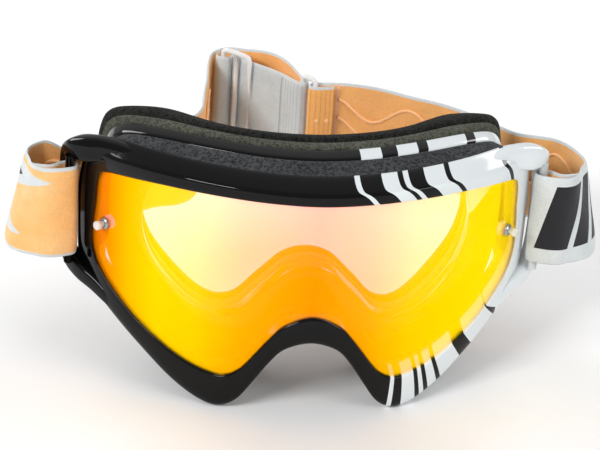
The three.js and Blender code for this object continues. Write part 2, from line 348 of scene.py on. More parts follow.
def bars(n, value, spans, reach):
    """1 inside any of the spans along value, else 0."""
    stops = [(0.0, (0, 0, 0, 1))]
    for start, end in spans:
        stops.append((start / reach, (1, 1, 1, 1)))
        stops.append((end / reach, (0, 0, 0, 1)))
    return n.ramp(n.math("DIVIDE", value, reach), stops, "CONSTANT")


# ---------------------------------------------------------------- materials
RIM_BARS = [  # white bars and blocks on the black rim, as distances along its edge from the top middle
    (17.0, 17.9), (21.3, 21.8), (28.4, 29.2), (30.2, 33.0), (33.8, 34.8), (35.6, 37.9), (39.4, 41.3),
    (45.4, 46.6), (47.8, 54.2), (55.0, 55.6), (56.5, 57.1), (58.0, 80.9), (82.8, 163.9),
]
CHEEK_BARS = [  # the same on the right cheek
    (163.0, 164.1), (164.7, 165.2), (166.0, 176.2), (183.0, 190.4), (190.9, 194.6), (195.0, 197.8),
    (198.2, 199.4), (201.3, 201.9), (203.4, 204.0), (206.9, 209.3), (209.6, 210.7), (211.2, 212.6),
    (215.3, 215.9), (217.8, 219.6),
]
FLANGE_BARS = [  # the same along the face flange
    (0.2, 0.7), (6.0, 6.5), (15.6, 16.9), (17.4, 22.8), (23.4, 25.0), (32.2, 33.9), (34.9, 41.3),
    (41.8, 42.2), (42.9, 43.3), (44.1, 63.4), (66.8, 96.0),
]
CHEEK_START = 162.0  # where the brow's bars give way to the cheek's
BAR_REACH = 560.0  # farther along the edge than any bar


def gloss(name, color_of):
    """Moulded gloss urethane: color_of(n) gives its colour."""
    n = Nodes(name)
    position = n.coordinate()
    shader = n.add("BsdfPrincipled", Base_Color=color_of(n), Roughness=0.1, IOR=1.3)
    ripple = n.noise(position, 55, 2)
    grain = n.noise(position, 900, 2)
    n.put(shader, "Roughness", n.range(grain, 0.3, 0.7, 0.05, 0.11))
    n.put(shader, "Normal", n.bump(ripple, 0.06, 0.0012))
    return n.done(shader.outputs[0])


BLACK = rgb("060607")
WHITE = rgb("DDE3E5")
WHITE_FROM = 0.02  # metres right of the middle, where the outriggers' white half starts


def striped(n, spans, lean):
    """Black with white bars along U. The bars lean along the part's width, V."""
    uv = n.split(n.coordinate("UV"))
    slant = n.math("MULTIPLY", n.math("SUBTRACT", uv[1], 0.5), lean)
    return bars(n, n.math("ADD", uv[0], slant), spans, BAR_REACH)


def rim_color(n):
    """Black with the brow's bars, and the cheek's bars beyond the corner."""
    uv = n.split(n.coordinate("UV"))
    brow = striped(n, RIM_BARS, 8.0)
    cheek = striped(n, CHEEK_BARS, -3.0)
    low = n.math("GREATER_THAN", uv[0], CHEEK_START)
    mask = n.blend(low, brow, cheek)
    return n.blend(mask, BLACK, WHITE)


def flange_color(n):
    return n.blend(striped(n, FLANGE_BARS, 0.0), BLACK, WHITE)


def sided_color(n):
    """Black on the left half of the goggles and white on the right."""
    x = n.split(n.coordinate())[0]
    return n.blend(n.math("GREATER_THAN", x, WHITE_FROM), BLACK, WHITE)


LENS_HALF = 0.09  # metres from the lens's middle to the ends of its row of tones
LENS_STRENGTH = 0.78
LENS_TONES = [  # the mirror's colour from its left end to its right end
    (0.0, "D87400"), (0.05, "E89200"), (0.09, "F0B400"), (0.15, "F0C800"),
    (0.24, "F0C200"), (0.34, "F0A800"), (0.5, "F09200"), (0.62, "F0A600"),
    (0.72, "F0C400"), (0.84, "F0D200"), (1.0, "F0D610"),
]
LENS_SHOWS = (0.62, 0.61, 0.78, 1)  # how much of the view behind comes through


def lens_material():
    """An orange mirror coat that also lets some of the view behind it through."""
    n = Nodes("lens_mirror")
    x = n.split(n.coordinate())[0]
    across = n.range(x, ORIGIN.x - LENS_HALF, ORIGIN.x + LENS_HALF)
    stops = [(at, (*(v * LENS_STRENGTH for v in rgb(code)[:3]), 1)) for at, code in LENS_TONES]
    tint = n.ramp(across, stops)
    mirror = n.add("BsdfGlossy", Color=tint, Roughness=0.02)
    sheen = n.add("BsdfDiffuse", Color=tint)
    coat = n.add("MixShader", Fac=0.6)
    n.put(coat, 1, mirror.outputs[0])
    n.put(coat, 2, sheen.outputs[0])
    through = n.add("BsdfTransparent", Color=LENS_SHOWS)
    shader = n.add("AddShader")
    n.put(shader, 0, coat.outputs[0])
    n.put(shader, 1, through.outputs[0])
    return n.done(shader.outputs[0])


def clear_plastic(name, color, clearness):
    """Milky clear plastic: clearness is the share that is seen straight through."""
    n = Nodes(name)
    base = n.add("BsdfPrincipled", Base_Color=color, Roughness=0.12, IOR=1.5)
    n.put(base, "Subsurface Weight", 0.2)
    n.put(base, "Subsurface Scale", 0.002)
    grain = n.noise(n.coordinate(), 600, 3)
    n.put(base, "Roughness", n.range(grain, 0.3, 0.7, 0.08, 0.2))
    through = n.add("BsdfTransparent", Color=(0.96, 0.98, 0.98, 1))
    shader = n.add("MixShader", Fac=1 - clearness)
    n.put(shader, 1, through.outputs[0])
    n.put(shader, 2, base.outputs[0])
    return n.done(shader.outputs[0])


def collar_metal():
    n = Nodes("collar_metal")
    grain = n.noise(n.coordinate(), 1500, 2)
    shader = n.add("BsdfPrincipled", Base_Color=rgb("A9ACAE"), Metallic=1.0, Roughness=0.28)
    n.put(shader, "Roughness", n.range(grain, 0.3, 0.7, 0.2, 0.36))
    n.put(shader, "Normal", n.bump(grain, 0.1, 0.0001))
    return n.done(shader.outputs[0])


def foam(name, dark, light, cell, depth):
    """Open-cell foam: small pits between lighter cell walls, darkened with painted shade that follows the
    bump's height.
    """
    n = Nodes(name)
    position = n.coordinate()
    pores = n.add("TexVoronoi", Scale=1 / cell, Randomness=1.0)
    n.put(pores, "Vector", position)
    soft = n.noise(position, 0.5 / cell, 4, 0.7)
    wide = n.noise(position, 45, 2)
    height = n.math("ADD", n.math("MULTIPLY", pores.outputs[0], 0.6), soft)
    # Painted shade: the colour turns dark where the foam's height is low, in its pits.
    tone = n.range(height, 0.5, 0.95)
    color = n.blend(tone, dark, light)
    color = n.blend(n.range(wide, 0.3, 0.7, 0.0, 0.35), color, dark)
    shader = n.add("BsdfPrincipled", Base_Color=color, Roughness=0.95, IOR=1.3)
    n.put(shader, "Sheen Weight", 0.35)
    n.put(shader, "Sheen Roughness", 0.6)
    n.put(shader, "Sheen Tint", light)
    n.put(shader, "Normal", n.bump(height, 0.9, depth))
    return n.done(shader.outputs[0])


def woven(n, uv, rib=0.55):
    """The height of a fine knitted web with lengthwise ribs. U runs along the strap in millimetres."""
    warp = n.math("SINE", n.math("MULTIPLY", uv[1], 2 * math.pi / rib))
    weft = n.math("SINE", n.math("MULTIPLY", uv[0], 2 * math.pi / (rib * 1.3)))
    cross = n.math("MULTIPLY", warp, weft)
    fuzz = n.noise(n.coordinate("UV"), 2.2, 4, 0.7)
    return n.math("ADD", n.math("MULTIPLY", cross, 0.35), fuzz)


def strap_face(name, color_of):
    """Knitted strap web: color_of(n, uv, height) gives its print."""
    n = Nodes(name)
    uv = n.split(n.coordinate("UV"))
    height = woven(n, uv)
    base = color_of(n, uv, height)
    worn = n.noise(n.coordinate("UV"), 0.12, 3)
    grain = n.noise(n.coordinate("UV"), 0.9, 3, 0.8)
    # Painted shade: the colour darkens in the knit's low points, from the same height as the bump.
    knit_groove_shade = n.range(height, 0.1, 0.95, 0.82, 1.06)
    shade = n.math("MULTIPLY", knit_groove_shade, n.range(grain, 0.3, 0.7, 0.9, 1.05))
    soft = n.range(worn, 0.3, 0.7, 0.94, 1.04)
    factor = n.math("MULTIPLY", shade, soft)
    lit = n.add("CombineXYZ", X=factor, Y=factor, Z=factor).outputs[0]
    color = n.blend(1.0, base, lit, "MULTIPLY")
    shader = n.add("BsdfPrincipled", Base_Color=color, Roughness=0.82, IOR=1.4)
    n.put(shader, "Sheen Weight", 0.25)
    n.put(shader, "Sheen Roughness", 0.5)
    n.put(shader, "Normal", n.bump(height, 0.55, 0.00025))
    return n.done(shader.outputs[0])


# Distances along each strap from its end at the outrigger bar
LEFT_ORANGE_END = 128.0
LEFT_FOLD = 289.0
LEFT_SEAM = 305.0
RIGHT_TAB = 204.0
STRAP_ORANGE = rgb("FFBE6E")
STRAP_PALE = rgb("FDCF8E")
STRAP_WHITE = rgb("DCE2E3")
STRAP_INK = rgb("0C0C12")
LINING = rgb("FFC074")
WHITE_COOL = rgb("D3DEE0")
LEFT_FLASHES = [  # tip, length, height of the tip, half height at the end, rise of the middle
    (34, 34, 34.5, 7.5, -4.0), (47, 30, 8.5, 6.5, 9.0), (78, 34, 30, 7, -6), (88, 30, 9, 6, 6),
]
LEFT_BARS = (150.0, 162.0)
RIGHT_BARS = [
    (24, 38), (41, 49), (52, 57), (60, 62.5), (66, 67), (96, 110), (113, 119), (122, 124),
]


def edged(n, uv, color, selvedge=1.5):
    """The strap's white selvedge along both edges."""
    rise = n.math("ABSOLUTE", n.math("SUBTRACT", uv[1], STRAP_WIDTH / 2))
    rim = n.math("GREATER_THAN", rise, STRAP_WIDTH / 2 - selvedge)
    return n.blend(rim, color, STRAP_WHITE)


def within(n, value, low, high):
    """1 where the value lies between two limits, else 0."""
    return n.math("MULTIPLY", n.math("GREATER_THAN", value, low), n.math("LESS_THAN", value, high))


def flash(n, uv, tip, length, height, spread, bend):
    """A pointed shape that starts at a tip and widens along U, bending up or down as it goes."""
    run = n.math("DIVIDE", n.math("SUBTRACT", uv[0], tip), length)
    ahead_of_tip = within(n, run, 0.0, 1.0)
    curve = n.math("POWER", n.math("ABSOLUTE", run), 1.5)
    middle = n.math("ADD", n.math("MULTIPLY", curve, bend), height)
    half = n.math("MULTIPLY", n.math("POWER", n.math("ABSOLUTE", run), 0.8), spread)
    off = n.math("ABSOLUTE", n.math("SUBTRACT", uv[1], middle))
    return n.math("MULTIPLY", ahead_of_tip, n.math("LESS_THAN", off, half))


# strap_face gives each print the knit's height, and only the right strap's ink uses it, for a painted
# highlight on the knit's raised points.
def left_print(n, uv, height):
    """Orange with white flashes and dark cores, turning to white towards the back."""
    pale = n.range(n.noise(n.coordinate("UV"), 0.05, 2), 0.3, 0.7)
    color = n.blend(pale, STRAP_ORANGE, STRAP_PALE)
    for tip, length, rise, spread, bend in LEFT_FLASHES:
        color = n.blend(flash(n, uv, tip, length, rise, spread, bend), color, STRAP_WHITE)
        core = flash(
            n, uv, tip + length * 0.55, length * 0.42, rise + bend * 0.5, spread * 0.45, bend * 0.4,
        )
        color = n.blend(core, color, STRAP_INK)
    color = n.blend(n.math("GREATER_THAN", uv[0], LEFT_ORANGE_END), color, WHITE_COOL)
    color = n.blend(within(n, uv[0], LEFT_SEAM, LEFT_SEAM + 0.8), color, rgb("A9B0B2"))
    # Painted shade: grey stripes across the ribbed panel between the fold and the seam stand for the shade
    # between its ribs.
    rib = n.range(n.math("SINE", n.math("MULTIPLY", uv[0], 2 * math.pi / 1.9)), 0.2, 1.0)
    ribbed_panel_shade = n.math("MULTIPLY", within(n, uv[0], LEFT_FOLD, LEFT_SEAM), rib)
    color = n.blend(n.math("MULTIPLY", ribbed_panel_shade, 0.35), color, rgb("9CA6A8"))
    for start in LEFT_BARS:
        lean = n.math("ADD", uv[0], n.math("MULTIPLY", uv[1], 0.3))
        bar = n.math("MULTIPLY", within(n, lean, start, start + 6), within(n, uv[1], 6.0, 35.0))
        color = n.blend(bar, color, STRAP_INK)
    return edged(n, uv, color)


def right_print(n, uv, height):
    """White with a row of leaning black bars."""
    # Painted highlight: the black ink turns lighter where the knit stands highest.
    knit_lit_ink = n.blend(n.range(height, 0.3, 0.8), STRAP_INK, rgb("1C1C26"))
    lean = n.math("ADD", uv[0], n.math("MULTIPLY", uv[1], -0.22))
    band = within(n, uv[1], 7.5, 37.0)
    color = STRAP_WHITE
    for start, end in RIGHT_BARS:
        bar = n.math("MULTIPLY", within(n, lean, start, end), band)
        color = n.blend(bar, color, knit_lit_ink)
    # Painted shade: darker orange stripes across the tab stand for the shade between its ribs.
    rib = n.range(n.math("SINE", n.math("MULTIPLY", uv[0], 2 * math.pi / 2.1)), 0.4, 1.0, 0.0, 0.4)
    rib_shaded_tab = n.blend(rib, STRAP_ORANGE, rgb("D9822E"))
    color = n.blend(n.math("GREATER_THAN", uv[0], RIGHT_TAB), color, rib_shaded_tab)
    return edged(n, uv, color)


def white_print(n, uv, height):
    return edged(n, uv, WHITE_COOL)


def lining(n, uv, height):
    tone = n.range(n.noise(n.coordinate("UV"), 0.08, 2), 0.3, 0.7)
    return edged(n, uv, n.blend(tone, LINING, rgb("FFBC70")), 1.3)


def lining_seamed(n, uv, height):
    """The lining of the right piece, with the double seam that closes its loop round the ring."""
    color = lining(n, uv, height)
    for start in (RIGHT_TAB - 8.4, RIGHT_TAB - 5.8):
        color = n.blend(within(n, uv[0], start, start + 1.0), color, rgb("FFC9A6"))
    return color


def selvedge_color(n, uv, height):
    return STRAP_WHITE


def silicone_material():
    n = Nodes("silicone")
    grain = n.noise(n.coordinate(), 500, 2)
    shader = n.add("BsdfPrincipled", Base_Color=rgb("FFC890"), Roughness=0.3, IOR=1.41)
    n.put(shader, "Roughness", n.range(grain, 0.3, 0.7, 0.22, 0.4))
    n.put(shader, "Subsurface Weight", 0.25)
    n.put(shader, "Subsurface Scale", 0.001)
    return n.done(shader.outputs[0])


RIM_GLOSS = gloss("rim_gloss", rim_color)
FLANGE_GLOSS = gloss("flange_gloss", flange_color)
SIDE_GLOSS = gloss("outrigger_gloss", sided_color)
BODY_GLOSS = gloss("body_gloss", lambda n: BLACK)
LENS = lens_material()
POST_CLEAR = clear_plastic("post_clear", rgb("F4F4F0"), 0.35)
BUCKLE_CLEAR = clear_plastic("buckle_clear", rgb("F2F5F6"), 0.15)
COLLAR = collar_metal()
VENT_FOAM = foam("vent_foam", rgb("0C0D0E"), rgb("4A4C4E"), 0.0011, 0.0009)
BASE_FOAM = foam("base_foam", rgb("191A16"), rgb("595B50"), 0.0009, 0.0006)
FLEECE = foam("fleece", rgb("050505"), rgb("2C2C2A"), 0.0011, 0.0012)
LEFT_PRINT = strap_face("strap_print_left", left_print)
RIGHT_PRINT = strap_face("strap_print_right", right_print)
WHITE_PRINT = strap_face("strap_print_white", white_print)
LINING_FACE = strap_face("strap_lining", lining)
LINING_SEAMED = strap_face("strap_lining_seamed", lining_seamed)
SELVEDGE = strap_face("strap_selvedge", selvedge_color)
SILICONE = silicone_material()


# ---------------------------------------------------------------- frame and lens
lens_line = closed_line(LENS_EDGE)
rim_line = closed_line(RIM_EDGE)
flange_line = closed_line(FLANGE_EDGE)
port_line = closed_line(PORT_EDGE)


def run_along(line):
    """The distance along a closed line at each station, and once more for the whole way round."""
    total = [0.0]
    for a, b in zip(line, line[1:] + line[:1]):
        total.append(total[-1] + (b - a).length)
    return total


def browness(x, z):
    """1 along the brow and 0 elsewhere."""
    return smooth((z - 90) / 6) * (1 - smooth((abs(x) - 78) / 12))


def ring_rows(inner, outer, section):
    """Rows of places round a ring. section(x, z) gives the section there, as pairs of how far from the
    inner to the outer line, and the depth behind the lens front."""
    rows = []
    for a, b in zip(inner, outer):
        row = []
        for across, depth in section(*b):
            p = a.lerp(b, across)
            row.append(lens_place(p.x, p.y, depth))
        rows.append(row)
    return rows


# The rim's section on the cheeks, the brow and the sides, as pairs for ring_rows
CHEEK_SECTION = [
    (0.00, -0.4), (0.00, -0.9), (0.025, -1.3), (0.08, -1.5), (0.30, -1.6), (0.55, -1.6), (0.78, -1.4),
    (0.91, -0.9), (0.98, 0.0), (1.00, 1.6), (1.00, 6.0), (1.00, 9.4), (0.985, 10.6), (0.94, 11.0),
    (0.55, 11.0), (0.20, 11.0), (0.03, 10.8), (0.00, 10.0), (0.00, 2.0),
]
BROW_SECTION = [
    (0.00, -0.4), (0.00, -0.9), (0.025, -1.3), (0.08, -1.6), (0.40, -1.9), (0.62, -1.8), (0.70, -1.2),
    (0.75, 0.2), (0.86, 3.6), (0.94, 6.6), (0.985, 8.8), (1.00, 10.2), (0.995, 11.2), (0.96, 11.6),
    (0.60, 11.4), (0.20, 11.0), (0.03, 10.8), (0.00, 10.0), (0.00, 2.0),
]
SIDE_SECTION = [
    (0.00, -0.4), (0.00, -0.9), (0.03, -1.4), (0.10, -1.5), (0.34, -1.5), (0.60, -1.5), (0.82, -1.45),
    (0.92, -1.2), (0.98, -0.4), (1.00, 1.2), (1.00, 6.0), (1.00, 9.4), (0.985, 10.6), (0.94, 11.0),
    (0.55, 11.0), (0.20, 11.0), (0.03, 10.8), (0.00, 10.0), (0.00, 2.0),
]


def sideness(x, z):
    """1 along the flat upright sides of the rim and 0 elsewhere."""
    return smooth((abs(x) - 86) / 5) * smooth((z - 40) / 8) * (1 - smooth((z - 84) / 8))


def rim_section(x, z):
    """The cheek's section, changed towards the brow's and the side's where those are."""
    brow, side = browness(x, z), sideness(x, z)
    return [
        (mix(mix(a, c, brow), e, side), mix(mix(b, d, brow), f, side))
        for (a, b), (c, d), (e, f) in zip(CHEEK_SECTION, BROW_SECTION, SIDE_SECTION)
    ]


def section_width(section):
    """V for each point of a section: across the ring, rising towards its outer side."""
    return [a for a, _ in section] + [section[0][0]]


rim = skin(
    "front_rim_moulding", ring_rows(lens_line, rim_line, rim_section), RIM_GLOSS,
    along=run_along(rim_line), across=section_width(CHEEK_SECTION),
)
refine(rim)
belongs(rim, "goggles", "frame", "front_rim")

FLANGE_SECTION = [
    (0.00, 22.0), (0.03, 21.0), (0.12, 20.7), (0.60, 20.7), (0.93, 20.8), (0.985, 21.4), (1.00, 23.0),
    (1.00, 26.0), (1.00, 29.2), (0.985, 30.6), (0.94, 31.0), (0.50, 31.0), (0.08, 31.0), (0.01, 30.4),
    (0.00, 28.0), (0.00, 24.0),
]
flange = skin(
    "face_flange", ring_rows(port_line, flange_line, lambda x, z: FLANGE_SECTION), FLANGE_GLOSS,
    along=run_along(flange_line), across=section_width(FLANGE_SECTION),
)
refine(flange)


def swollen(line, distance):
    """A closed line moved outwards."""
    count = len(line)
    moved = []
    for i, p in enumerate(line):
        along = (line[(i + 1) % count] - line[i - 1]).normalized()
        moved.append(Vector((p.x - along.y * distance, p.y + along.x * distance)))
    return moved


TUBE_HALF = 82.5  # the tube's inner wall reaches no farther from the middle than this
tube_outer = swollen(lens_line, 3.0)
tube_inner = [
    Vector((max(-TUBE_HALF, min(TUBE_HALF, p.x)), p.y)) for p in swollen(lens_line, 0.8)
]
TUBE_SECTION = [(0, 11.3), (1, 11.3), (1, 16), (1, 20.9), (0, 20.9), (0, 16)]
tube = skin("frame_tube", ring_rows(tube_inner, tube_outer, lambda x, z: TUBE_SECTION), BODY_GLOSS)
belongs(flange, "goggles", "frame", "frame_body")
belongs(tube, "goggles", "frame")


LENS_IN_GROOVE = 2.0
LENS_THICKNESS = 0.9


def lens_piece():
    """The lens, as rings of places from its middle to its edge, on its front and back."""
    edge = swollen(lens_line, LENS_IN_GROOVE)
    heart = Vector((0, 74))
    rings = 26
    front = [[heart.lerp(p, (k + 1) / rings) for p in edge] for k in range(rings)]
    rows = [[lens_place(p.x, p.y, 0.0) for p in ring] for ring in front]
    rows += [[lens_place(p.x, p.y, LENS_THICKNESS) for p in ring] for ring in reversed(front)]
    width = len(edge)
    verts = [p for row in rows for p in row]
    faces = []
    for i in range(len(rows) - 1):
        for j in range(width):
            a, b = i * width + j, i * width + (j + 1) % width
            faces.append((a, b, b + width, a + width))
    front_heart = len(verts)
    verts += [lens_place(heart.x, heart.y, depth) for depth in (0.0, LENS_THICKNESS)]
    last = (len(rows) - 1) * width
    for j in range(width):
        faces.append((front_heart, (j + 1) % width, j))
        faces.append((front_heart + 1, last + j, last + (j + 1) % width))
    return outward(make("lens_shield", verts, faces, LENS))


lens = lens_piece()
belongs(lens, "goggles", "lens", "lens")


# ---------------------------------------------------------------- outriggers and posts
OUTWARD = Vector((0.72, -0.69, 0))  # square to the lens at its right end
BLADE_SIDES = 20
BLADE_ROUNDNESS = 0.6  # 1 for an ellipse, and less for a squarer section


def blade(name, side, stations, material):
    """A rounded bar through stations of (x, y, z, half width, half thickness), thin along OUTWARD."""
    line = open_line([Vector((*s[:3], s[3], s[4])) for s in stations], 1.2)
    rows = []
    for i, s in enumerate(line):
        here = Vector(s[:3])
        before = Vector(line[max(i - 1, 0)][:3])
        after = Vector(line[min(i + 1, len(line) - 1)][:3])
        along = (after - before).normalized()
        normal = (OUTWARD - along * OUTWARD.dot(along)).normalized()
        across = along.cross(normal).normalized()
        row = []
        for k in range(BLADE_SIDES):
            a = 2 * math.pi * k / BLADE_SIDES
            c, d = math.cos(a), math.sin(a)
            wide = math.copysign(abs(c) ** BLADE_ROUNDNESS, c) * s[3]
            deep = math.copysign(abs(d) ** BLADE_ROUNDNESS, d) * s[4]
            p = here + across * wide + normal * deep
            row.append(place(side * p.x, p.y, p.z))
        rows.append(row)
    return refine(skin(name, rows, material, ring=False))


OUTRIGGER = [  # from inside the brow, round behind the strap's end, to the cheek
    (58, 25, 97.6, 1.4, 1.2), (67, 32, 98.2, 2.6, 2.2), (76, 39.4, 98, 4.0, 3.6), (84, 45.6, 96.9, 5.0, 4.6),
    (90.6, 49.8, 95.4, 5.4, 5.2), (94.8, 53.6, 94, 4.6, 5.2), (97.8, 58.8, 89.6, 3.4, 3.6),
    (99, 61.4, 80, 2.8, 2.6), (99, 61.2, 62, 2.6, 2.4), (98.4, 60.2, 49, 3.0, 2.6),
    (96.4, 56.6, 42, 3.8, 3.2), (92, 50.4, 39, 4.0, 3.4), (86, 44.4, 36, 3.6, 3.0),
    (78, 36.4, 30.4, 2.6, 2.2), (70, 30, 25, 1.4, 1.2),
]
BAR = Vector((98, 50))  # the bar's place in plan, on the right
BAR_RADIUS = 1.8
BAR_HEIGHTS = (43, 60, 76, 92)

for side, word in ((-1, "left"), (1, "right")):
    arm = blade(f"outrigger_{word}_frame", side, OUTRIGGER, SIDE_GLOSS)
    bar_line = [place(side * BAR.x, BAR.y, z) for z in BAR_HEIGHTS]
    bar = rod(f"outrigger_{word}_bar", bar_line, BAR_RADIUS, SIDE_GLOSS, sides=20)
    slot = "frame" if side < 0 else "frame_white"
    belongs(arm, "goggles", slot, f"outrigger_{word}")
    belongs(bar, "goggles", slot)

POST_AT = 83
POST_HEIGHT = 66
POST_PROFILE = [
    (0.02, -3.6), (0.9, -3.6), (1.2, -3.3), (1.2, 0), (1.2, 2.4), (1.35, 2.9), (1.85, 3.3),
    (1.95, 3.6), (1.95, 4.6), (1.8, 5.0), (1.4, 5.25), (0.7, 5.3), (0.02, 5.3),
]
COLLAR_PROFILE = [
    (1.5, 0.35), (2.5, 0.35), (2.7, 0.5), (2.7, 0.9), (2.5, 1.15), (2.1, 1.45), (1.9, 1.6), (1.5, 1.6),
]
CLIP_PROFILE = [(1.5, -3.0), (2.8, -3.0), (3.0, -2.8), (3.0, -1.6), (2.8, -1.4), (1.5, -1.4)]


def turned(name, profile, side, material, sides=28):
    """A round piece on a tear-off post's axis, from (radius, distance out of the lens)."""
    angle = math.asin(POST_AT / LENS_RADIUS)
    out = Vector((side * math.sin(angle), -math.cos(angle), 0))
    flat = Vector((math.cos(angle), side * math.sin(angle), 0))
    centre = place(side * POST_AT, bow(POST_AT), POST_HEIGHT)
    rows = []
    for k in range(sides):
        a = 2 * math.pi * k / sides
        spoke = flat * math.cos(a) + Vector((0, 0, 1)) * math.sin(a)
        rows.append([centre + (spoke * r + out * h) * MM for r, h in profile])
    return skin(name, rows, material)


for side, word in ((-1, "left"), (1, "right")):
    post = turned(f"tearoff_post_{word}_pin", POST_PROFILE, side, POST_CLEAR)
    collar = turned(f"tearoff_collar_{word}_ring", COLLAR_PROFILE, side, COLLAR)
    clip = turned(f"tearoff_clip_{word}_ring", CLIP_PROFILE, side, POST_CLEAR)
    belongs(post, "goggles", "clear_plastic", f"tearoff_post_{word}")
    belongs(collar, "goggles", "collar_metal", f"tearoff_collar_{word}")
    belongs(clip, "goggles", "clear_plastic", f"tearoff_clip_{word}")


# ---------------------------------------------------------------- foams
VENT_MIDDLE = 16  # the depth that the vent foams' ends close to


def foam_rows(inner, outer, section, first=0, last=None, taper=0, back=None):
    """As ring_rows, with a third number in the section: how much of the temple pad's lift it takes.
    taper is the number of rows over which each end shrinks to the inner line. back is the outer line at the
    vent foam's back, where it differs."""
    count = len(inner)
    stations = range(first, count if last is None else last)
    rows = []
    for i in stations:
        a, b = inner[i % count], outer[i % count]
        full = smooth((min(i - first, stations[-1] - i) + 1) / taper) if taper else 1.0
        row = []
        for across, depth, lift in section:
            slope = smooth((depth - 12) / 8.5) if back else 0
            p = a.lerp(b.lerp(back[i % count], slope) if back else b, across * full)
            lifted = depth + lift * temple(p.x)
            row.append(lens_place(p.x, p.y, mix(VENT_MIDDLE, depth, full) if taper else lifted))
        rows.append(row)
    return rows


BASE_SECTION = [
    (0.02, 31.1, 0), (0.00, 32.5, 0), (-0.01, 35, 0.8), (0.02, 37.4, 2.2), (0.3, 38, 2.6), (0.7, 38, 2.6),
    (0.98, 37.6, 2.2), (1.05, 36.2, 1.6), (1.05, 34, 0.8), (1.01, 32, 0), (0.97, 31.1, 0), (0.5, 31.1, 0),
]
FLEECE_SECTION = [
    (0.03, 37.6, 2.4), (0.0, 38.8, 3.2), (-0.01, 41, 4.6), (0.03, 43.6, 6.2), (0.14, 45.4, 7.2),
    (0.35, 46.2, 7.6), (0.62, 46.4, 7.6), (0.86, 46.0, 7.2), (1.02, 44.6, 6.2), (1.10, 42.0, 4.8),
    (1.10, 39.6, 3.4), (1.04, 38.0, 2.6), (0.5, 37.6, 2.4),
]
base_foam = skin("face_foam_base_layer", foam_rows(port_line, flange_line, BASE_SECTION), BASE_FOAM)
fleece_foam = skin("face_foam_fleece_layer", foam_rows(port_line, flange_line, FLEECE_SECTION), FLEECE)
belongs(base_foam, "goggles", "base_foam", "face_foam_base")
belongs(fleece_foam, "goggles", "fleece", "face_foam_fleece")

VENT_SECTION = [
    (0.02, 11.5, 0), (0.5, 11.5, 0), (0.92, 11.5, 0), (0.985, 12.0, 0), (1.0, 13.2, 0), (1.015, 16, 0),
    (1.0, 19, 0), (0.985, 20.2, 0), (0.92, 20.5, 0), (0.5, 20.5, 0), (0.02, 20.5, 0), (0.0, 16, 0),
]
vent_outer = swollen(rim_line, -0.9)
vent_inner = swollen(tube_outer, 0.2)
whole = len(rim_line)
VENT_SPANS = {  # the first station and the one after the last, on the outlines
    "top": (-30, 31), "right": (60, 112), "left": (whole - 111, whole - 59),
}
foams = [base_foam, fleece_foam]
for word, (first, last) in VENT_SPANS.items():
    rows = foam_rows(vent_inner, vent_outer, VENT_SECTION, first, last, taper=6, back=flange_line)
    strip = skin(f"vent_foam_{word}_strip", rows, VENT_FOAM, ring=False)
    belongs(strip, "goggles", "vent_foam", f"vent_foam_{word}")
    foams.append(strip)
for piece in foams:
    refine(piece)


# ---------------------------------------------------------------- strap
# The doubled part of the strap runs straight, from the slider to the ring.
RUN_START = Vector((-28, 171.5))
RUN_ALONG = Vector((33, -30.5)).normalized()
RUN_ACROSS = Vector((-RUN_ALONG.y, RUN_ALONG.x))
RUN_TURN = math.atan2(RUN_ALONG.y, RUN_ALONG.x)
RING_LEFT = 45  # the ring's two uprights, along the run
RING_RIGHT = 52.2
RING_TURN = 1.2 + 0.4 + STRAP_THICKNESS / 2
BAR_TURN = BAR_RADIUS + 0.5 + STRAP_THICKNESS / 2
SLIDER_LENGTH = 18
SLIDER_MIDDLE = -3.05


def on_run(along, across):
    """A place in plan, from its distances along and across the run."""
    p = RUN_START + RUN_ALONG * along + RUN_ACROSS * across
    return (p.x, p.y)


def turn(centre, radius, start, end, count=7):
    """An arc in plan, from one angle to another."""
    angles = [start + (end - start) * i / (count - 1) for i in range(count)]
    return [(centre[0] + radius * math.cos(a), centre[1] + radius * math.sin(a)) for a in angles]


END_TURN = [
    (113, 49.6), (106, 48.6), (101.6, 52.2), *turn(BAR, BAR_TURN, math.pi * 0.42, math.pi * 1.45),
]
# Each piece of strap in plan, from its end at an outrigger bar
LEFT_ROUTE = [
    *((-x, y) for x, y in END_TURN),
    (-103, 45.2), (-109, 45.4), (-115.4, 50), (-119.5, 58), (-118.6, 68), (-112, 75.4), (-103.5, 77),
    (-96.4, 77.8), (-92, 84), (-87, 90), (-79, 93.4), (-67, 93.4), (-55, 94), (-47, 98.4), (-42.6, 106),
    (-40.4, 118),
    (-38.6, 136), (-36.8, 153), (-35.9, 164), (-34.4, 170.6), (-30.6, 175.4), on_run(-2, 6), on_run(4, 9.4),
    on_run(10, 13.6), on_run(17, 15.2), on_run(25, 13), on_run(33, 9), on_run(41, 4.3),
    *turn(on_run(RING_LEFT, 0), RING_TURN, RUN_TURN + math.pi / 2, RUN_TURN - math.pi / 2),
    on_run(40, -1.7), on_run(33, -0.5), on_run(24, 0), on_run(12, 0), on_run(3, 0),
]
RIGHT_ROUTE = [
    *END_TURN,
    (103, 45.2), (109, 45.4), (116, 50.6), (121.6, 59), (122.4, 68), (118.6, 79), (111, 86), (102, 88),
    (93, 90), (84.4, 99.4), (76, 109.4), (65, 118.4), (53, 125.6), (42, 132.4), (33, 136.6),
    (25, 138.8), (18.4, 139),
    *turn(on_run(RING_RIGHT, 0), RING_TURN, math.pi * 0.42, math.pi * 1.56),
    (14.4, 133.8), (18.4, 134.6),
]
LOOP_ROUTE = [
    on_run(4.8, -2.1), on_run(4.7, -3.8), on_run(2, -5.7), on_run(-1, -5.0), on_run(-1.8, -3.0),
]


